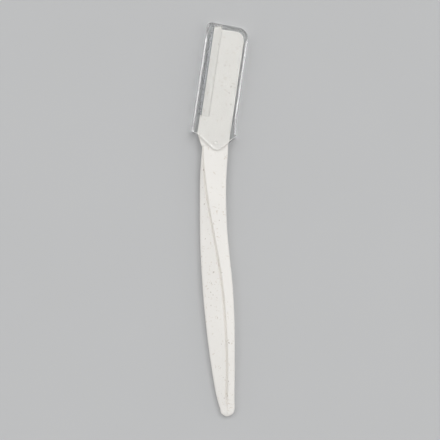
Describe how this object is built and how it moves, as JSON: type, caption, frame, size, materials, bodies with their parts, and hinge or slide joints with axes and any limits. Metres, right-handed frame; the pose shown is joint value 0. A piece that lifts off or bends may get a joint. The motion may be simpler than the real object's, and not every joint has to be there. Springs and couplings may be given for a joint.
{
  "type": "eyebrow razor",
  "caption": "Slim eyebrow razor: bowed speckled plastic handle, guarded steel blade along one side of its tilted flat head, and a clear push-on cap.",
  "frame": {"origin": "middle of the razor's box, on the plane of its flat back, where it lies on a table", "axes": "+Y from the tail to the head, +Z out of the front face, +X to the right across the front, with the cutting edge on the -X side"},
  "size_m": [0.0216, 0.1504, 0.0056],
  "materials": {
    "straw_plastic": "satin moulded plastic filled with fine straw fibre, off-white with faint tan flecks",
    "clamp_plastic": "the handle's straw-filled plastic, moulded smooth",
    "blade_steel": "cold-rolled stainless strip with a ground edge",
    "guard_steel": "etched and folded stainless foil",
    "clear_plastic": "clear injection-moulded plastic, polished"
  },
  "bodies": {
    "razor": {"handle": "straw_plastic", "blade": "blade_steel", "guard_comb": "guard_steel", "blade_clamp": "clamp_plastic"},
    "cap": {"cap": "clear_plastic"}
  },
  "joints": [
    {"name": "cap_slide", "type": "slide", "parent": "razor", "child": "cap", "axis": [0.1461, 0.9893, 0], "range_m": [0, 0.05]}
  ]
}
